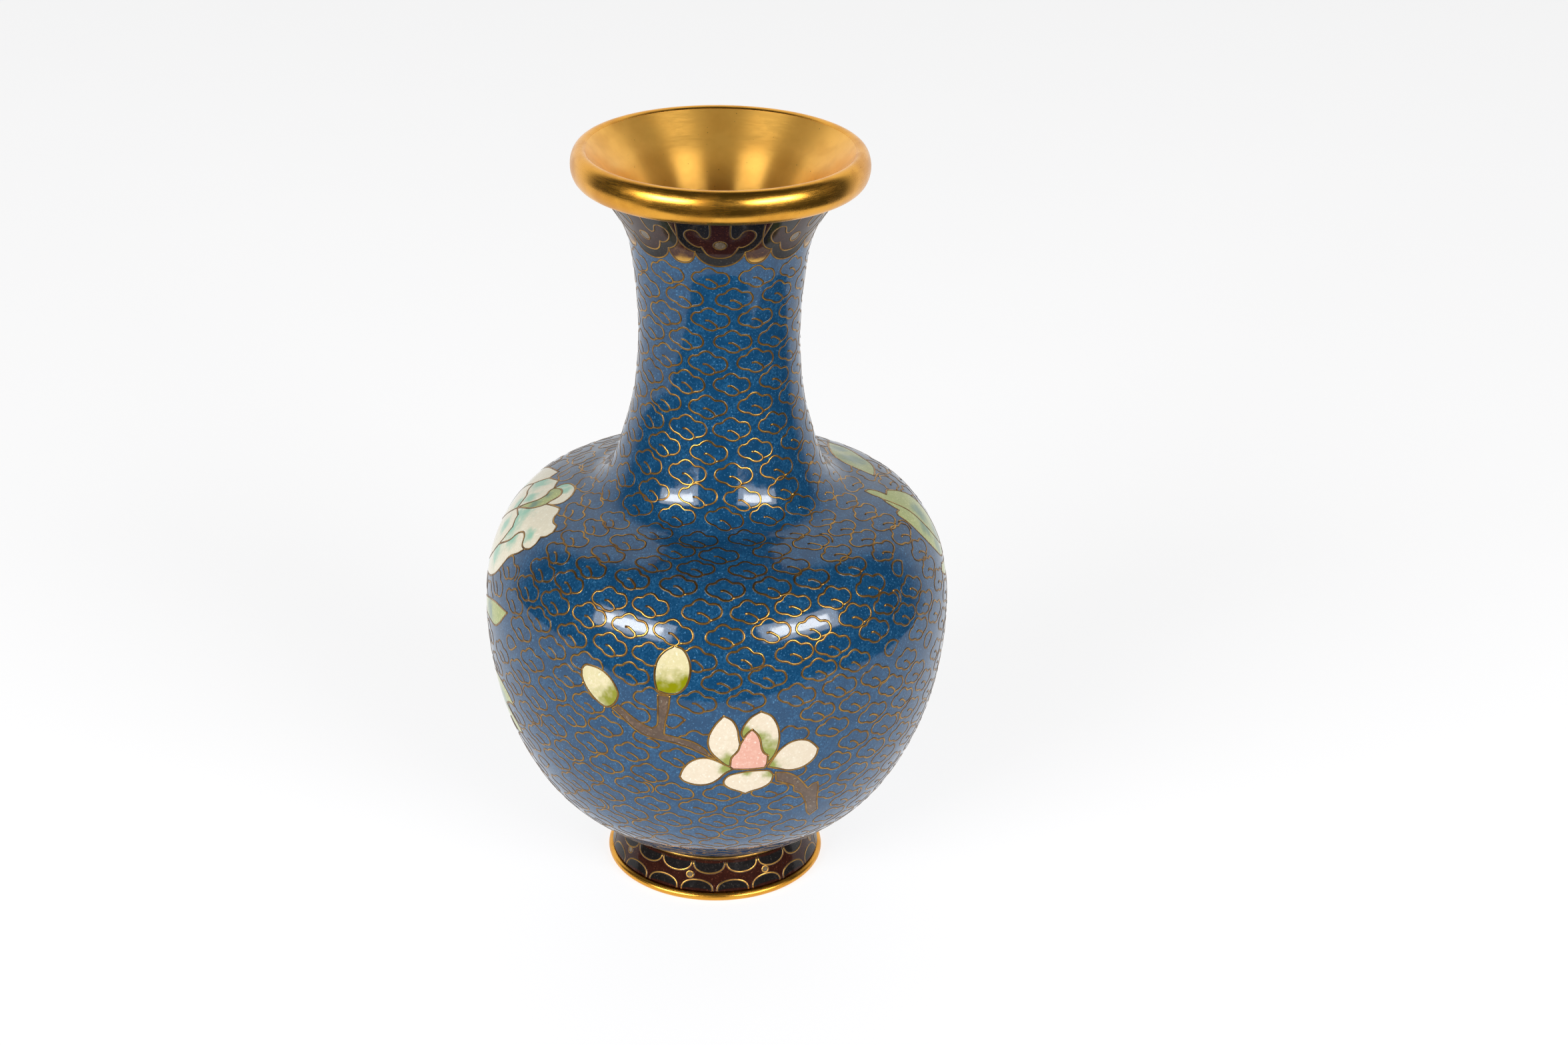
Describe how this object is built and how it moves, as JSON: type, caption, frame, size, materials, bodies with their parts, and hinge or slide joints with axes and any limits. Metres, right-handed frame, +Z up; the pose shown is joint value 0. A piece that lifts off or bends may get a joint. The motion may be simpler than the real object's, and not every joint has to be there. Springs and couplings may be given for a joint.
{
  "type": "cloisonne vase",
  "caption": "Bottle vase with a rolled gilt lip, trumpet neck, round body and flared foot, enamelled blue with cloud wires, a ruyi collar and a magnolia spray.",
  "frame": {"origin": "centre of the foot's resting circle, on the floor", "axes": "+Z up along the vase's axis; the magnolia flower faces -Y"},
  "size_m": [0.0912, 0.0912, 0.1509],
  "materials": {
    "gilt": "satin gilt, brushed around",
    "wire": "polished gilt copper wire",
    "copper": "bare copper",
    "blue_enamel": "glossy, finely mottled, with small pits",
    "black_enamel": "glossy",
    "maroon_enamel": "glossy, mottled",
    "amber_enamel": "glossy, amber along the lower edge",
    "cream_enamel": "glossy, cream shading to olive green",
    "bud_enamel": "glossy, cream shading to lime green",
    "pink_enamel": "glossy, mottled pink",
    "peony_enamel": "glossy, cream pink shading to grey green",
    "leaf_enamel": "glossy, yellow green shading to blue green",
    "bark_enamel": "glossy, grey brown, mottled",
    "base_enamel": "glossy turquoise"
  },
  "bodies": {
    "root": {"base_enamel": "base_enamel", "belly_bowl": "copper", "belly_ground": "blue_enamel", "branch_back": "bark_enamel", "branch_left": "bark_enamel", "branch_right": "bark_enamel", "bud_back": "bud_enamel", "collar_ground": "black_enamel", "collar_pendant_1": "amber_enamel", "collar_pendant_2": "amber_enamel", "collar_pendant_3": "amber_enamel", "collar_pendant_4": "amber_enamel", "collar_pendant_5": "amber_enamel", "collar_pendant_6": "amber_enamel", "collar_pendant_7": "amber_enamel", "collar_pendant_8": "amber_enamel", "foot_band": "maroon_enamel", "foot_core": "copper", "foot_rim": "gilt", "foot_wire_ring": "wire", "leaf_back_hanging": "leaf_enamel", "leaf_back_shoulder": "leaf_enamel", "leaf_left_lower": "leaf_enamel", "leaf_left_upper": "leaf_enamel", "leaf_right_far": "leaf_enamel", "leaf_right_narrow": "leaf_enamel", "leaf_right_near": "leaf_enamel", "lip_roll": "gilt", "magnolia_bud_1": "bud_enamel", "magnolia_bud_2": "bud_enamel", "magnolia_petal_1": "cream_enamel", "magnolia_petal_2": "cream_enamel", "magnolia_petal_3": "cream_enamel", "magnolia_petal_4": "cream_enamel", "magnolia_petal_5": "cream_enamel", "magnolia_pistil": "pink_enamel", "mouth_funnel": "gilt", "neck_ground": "blue_enamel", "neck_tube": "copper", "peony_petal_1": "peony_enamel", "peony_petal_2": "leaf_enamel", "peony_petal_3": "peony_enamel", "peony_petal_4": "peony_enamel", "peony_petal_5": "peony_enamel", "peony_petal_6": "peony_enamel", "peony_petal_7": "peony_enamel", "peony_petal_8": "peony_enamel", "ruyi_field_1": "maroon_enamel", "ruyi_field_2": "maroon_enamel", "ruyi_field_3": "maroon_enamel", "ruyi_field_4": "maroon_enamel", "ruyi_field_5": "maroon_enamel", "ruyi_field_6": "maroon_enamel", "ruyi_field_7": "maroon_enamel", "ruyi_field_8": "maroon_enamel", "shoulder_ground": "blue_enamel", "shoulder_shell": "copper"}
  },
  "joints": []
}
